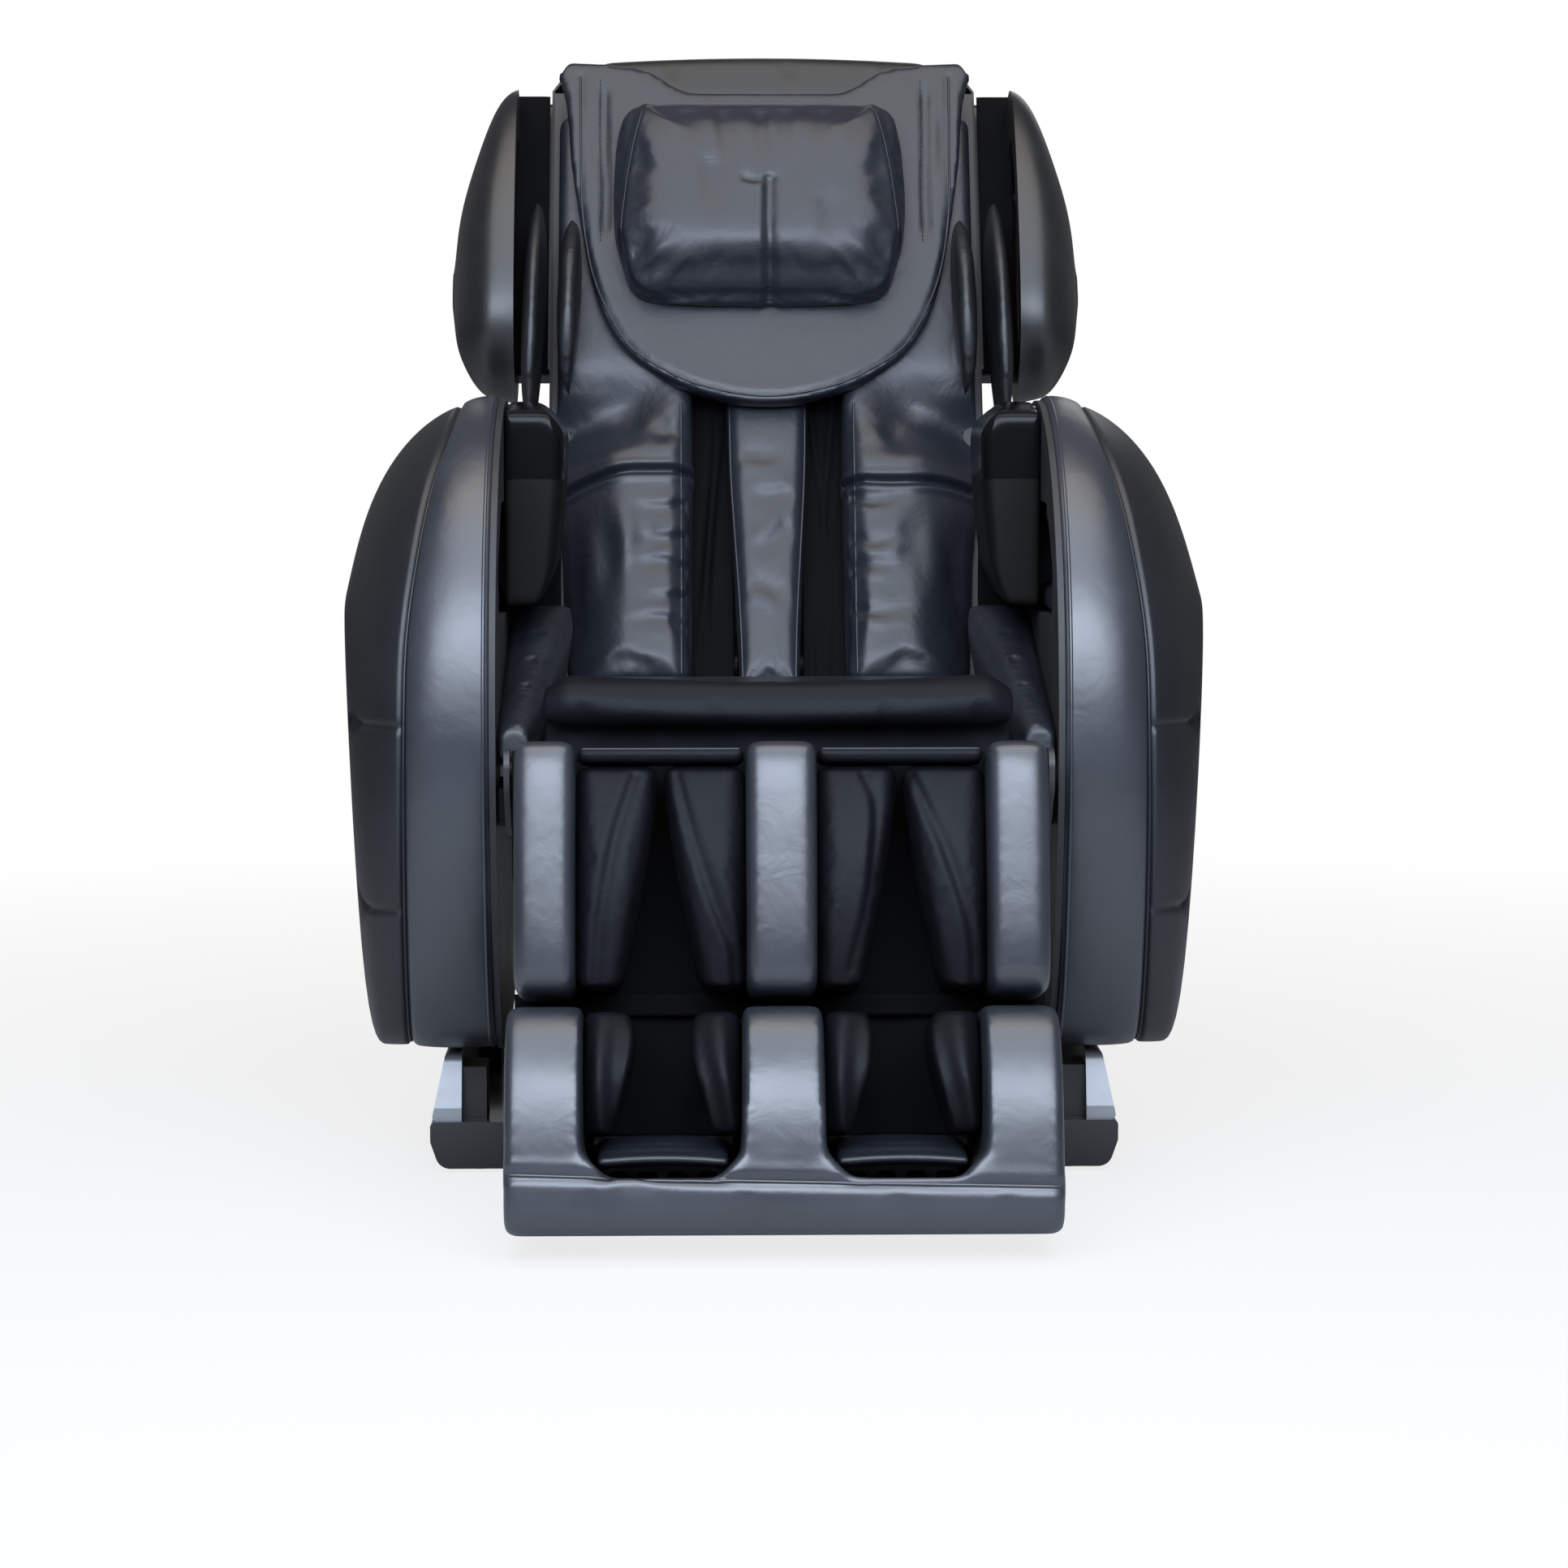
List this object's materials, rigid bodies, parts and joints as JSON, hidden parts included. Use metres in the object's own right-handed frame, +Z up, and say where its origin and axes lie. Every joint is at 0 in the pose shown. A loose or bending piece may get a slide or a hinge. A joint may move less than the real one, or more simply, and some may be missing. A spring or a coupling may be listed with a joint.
{
  "type": "massage chair",
  "caption": "Reclining massage chair with padded round arms, shoulder housings, head pillow and a lifting leg rest with calf and foot channels, on a gliding steel base.",
  "frame": {"origin": "on the floor, under the middle of the chair's overall length and width at rest", "axes": "+Z up, +X towards the sitter's left hand, -Y the way the sitter faces"},
  "size_m": [0.9144, 1.2508, 1.2351],
  "materials": {
    "black_leather": "soft matt",
    "grey_leather": "soft satin",
    "soft_cover": "soft satin, over foam",
    "gloss_black": "gloss",
    "matt_black": "fine texture",
    "silver": "silver paint",
    "frame_steel": "black powder coat",
    "zinc_steel": "zinc",
    "rubber": "matt",
    "roller": "smooth"
  },
  "bodies": {
    "base": {"base_frame": "frame_steel", "runner_cover_left": "gloss_black", "runner_cover_right": "gloss_black", "runner_trims": "silver", "levelling_feet": "rubber", "power_box": "matt_black"},
    "wheel_left": {"transport_wheel_left": "rubber"},
    "wheel_right": {"transport_wheel_right": "rubber"},
    "rocker": {"power_rocker": "gloss_black"},
    "carriage": {"glide_carriage": "frame_steel", "tilt_actuator_tube": "matt_black", "control_box": "matt_black", "air_pump": "matt_black"},
    "tilt_rod": {"tilt_actuator_rod": "zinc_steel"},
    "chair": {"seat_frame": "frame_steel", "seat_pan": "matt_black", "seat_cushion": "soft_cover", "seat_front_roll": "soft_cover", "hip_pads": "soft_cover", "arm_shell_left": "black_leather", "arm_shell_right": "black_leather", "arm_band_left": "grey_leather", "arm_band_right": "grey_leather", "arm_panel_left": "matt_black", "arm_panel_right": "matt_black", "arm_guards": "gloss_black", "arm_airbags": "soft_cover", "back_actuator_tube": "matt_black", "leg_actuator_tube": "matt_black"},
    "backrest": {"back_frame": "frame_steel", "guide_bars": "zinc_steel", "back_shell": "gloss_black", "back_pad_centre": "soft_cover", "back_pad_left": "soft_cover", "back_pad_right": "soft_cover", "head_pad": "soft_cover", "shoulder_shell_left": "gloss_black", "shoulder_shell_right": "gloss_black", "shoulder_airbags": "soft_cover"},
    "pillow": {"head_pillow": "soft_cover"},
    "back_rod": {"back_actuator_rod": "zinc_steel"},
    "massage_unit": {"massage_carriage": "matt_black", "massage_motors": "zinc_steel"},
    "massage_arm_left": {"massage_arm_left": "matt_black"},
    "massage_arm_right": {"massage_arm_right": "matt_black"},
    "roller_upper_left": {"roller_upper_left": "roller"},
    "roller_lower_left": {"roller_lower_left": "roller"},
    "roller_upper_right": {"roller_upper_right": "roller"},
    "roller_lower_right": {"roller_lower_right": "roller"},
    "calf_rest": {"calf_frame": "matt_black", "calf_walls": "soft_cover", "calf_airbags": "soft_cover"},
    "leg_rod": {"leg_actuator_rod": "zinc_steel"},
    "foot_rest": {"foot_shell": "black_leather", "foot_airbags": "soft_cover", "sole_pads": "soft_cover", "extension_rods": "zinc_steel"},
    "foot_roller_left": {"foot_roller_left": "matt_black"},
    "foot_roller_right": {"foot_roller_right": "matt_black"}
  },
  "joints": [
    {"name": "frame_glide", "type": "slide", "parent": "base", "child": "carriage", "axis": [0, -1, 0], "range_m": [0, 0.16003]},
    {"name": "seat_tilt", "type": "hinge", "parent": "carriage", "child": "chair", "pos_m": [0, 0.2638, 0.23], "axis": [-1, 0, 0], "range_deg": [0, 15]},
    {"name": "tilt_actuator_travel", "type": "slide", "parent": "carriage", "child": "tilt_rod", "axis": [0, 0.5711, 0.8209], "range_m": [0, 0.08817]},
    {"name": "back_recline", "type": "hinge", "parent": "chair", "child": "backrest", "pos_m": [0, 0.1538, 0.43], "axis": [-1, 0, 0], "range_deg": [0, 50]},
    {"name": "back_actuator_travel", "type": "slide", "parent": "chair", "child": "back_rod", "axis": [0, -1, 0], "range_m": [0, 0.07609]},
    {"name": "leg_lift", "type": "hinge", "parent": "chair", "child": "calf_rest", "pos_m": [0, -0.3712, 0.46], "axis": [-1, 0, 0], "range_deg": [0, 78]},
    {"name": "leg_actuator_travel", "type": "slide", "parent": "chair", "child": "leg_rod", "axis": [0, -1, 0], "range_m": [0, 0.10071]},
    {"name": "foot_extend", "type": "slide", "parent": "calf_rest", "child": "foot_rest", "axis": [0, -0.2079, -0.9781], "range_m": [0, 0.12002]},
    {"name": "pillow_flip", "type": "hinge", "parent": "backrest", "child": "pillow", "pos_m": [0, 0.40915, 1.17377], "axis": [-1, 0, 0], "range_deg": [0, 90]},
    {"name": "massage_unit_travel", "type": "slide", "parent": "backrest", "child": "massage_unit", "axis": [0, 0.4226, 0.9063], "range_m": [0, 0.47]},
    {"name": "massage_tap_left", "type": "hinge", "parent": "massage_unit", "child": "massage_arm_left", "pos_m": [0, 0.28993, 0.5563], "axis": [1, 0, 0], "range_deg": [-8, 8]},
    {"name": "massage_tap_right", "type": "hinge", "parent": "massage_unit", "child": "massage_arm_right", "pos_m": [0, 0.28993, 0.5563], "axis": [1, 0, 0], "range_deg": [-8, 8]},
    {"name": "power_switch", "type": "hinge", "parent": "base", "child": "rocker", "pos_m": [0, 0.4778, 0.047], "axis": [1, 0, 0], "range_deg": [-5, 5]},
    {"name": "transport_roll_left", "type": "hinge", "parent": "base", "child": "wheel_left", "pos_m": [0, 0.4858, 0.036], "axis": [1, 0, 0], "continuous": true},
    {"name": "transport_roll_right", "type": "hinge", "parent": "base", "child": "wheel_right", "pos_m": [0, 0.4858, 0.036], "axis": [1, 0, 0], "continuous": true},
    {"name": "roller_spin_upper_left", "type": "hinge", "parent": "massage_arm_left", "child": "roller_upper_left", "pos_m": [0, 0.27263, 0.63278], "axis": [1, 0, 0], "continuous": true},
    {"name": "roller_spin_lower_left", "type": "hinge", "parent": "massage_arm_left", "child": "roller_lower_left", "pos_m": [0, 0.22023, 0.5204], "axis": [1, 0, 0], "continuous": true},
    {"name": "roller_spin_upper_right", "type": "hinge", "parent": "massage_arm_right", "child": "roller_upper_right", "pos_m": [0, 0.27263, 0.63278], "axis": [1, 0, 0], "continuous": true},
    {"name": "roller_spin_lower_right", "type": "hinge", "parent": "massage_arm_right", "child": "roller_lower_right", "pos_m": [0, 0.22023, 0.5204], "axis": [1, 0, 0], "continuous": true},
    {"name": "foot_roller_spin_left", "type": "hinge", "parent": "foot_rest", "child": "foot_roller_left", "pos_m": [0, -0.49848, 0.05358], "axis": [1, 0, 0], "continuous": true},
    {"name": "foot_roller_spin_right", "type": "hinge", "parent": "foot_rest", "child": "foot_roller_right", "pos_m": [0, -0.49848, 0.05358], "axis": [1, 0, 0], "continuous": true}
  ],
  "couplings": [
    {"joint": "frame_glide", "follows": "back_recline", "m_per_rad": 0.18335},
    {"joint": "back_actuator_travel", "follows": "back_recline", "m_per_rad": 0.087171},
    {"joint": "tilt_actuator_travel", "follows": "seat_tilt", "m_per_rad": 0.33671},
    {"joint": "leg_actuator_travel", "follows": "leg_lift", "m_per_rad": 0.073964},
    {"joint": "foot_extend", "follows": "leg_lift", "m_per_rad": 0.088147},
    {"joint": "massage_tap_right", "follows": "massage_tap_left", "ratio": -1},
    {"joint": "foot_roller_spin_right", "follows": "foot_roller_spin_left", "ratio": 1}
  ]
}
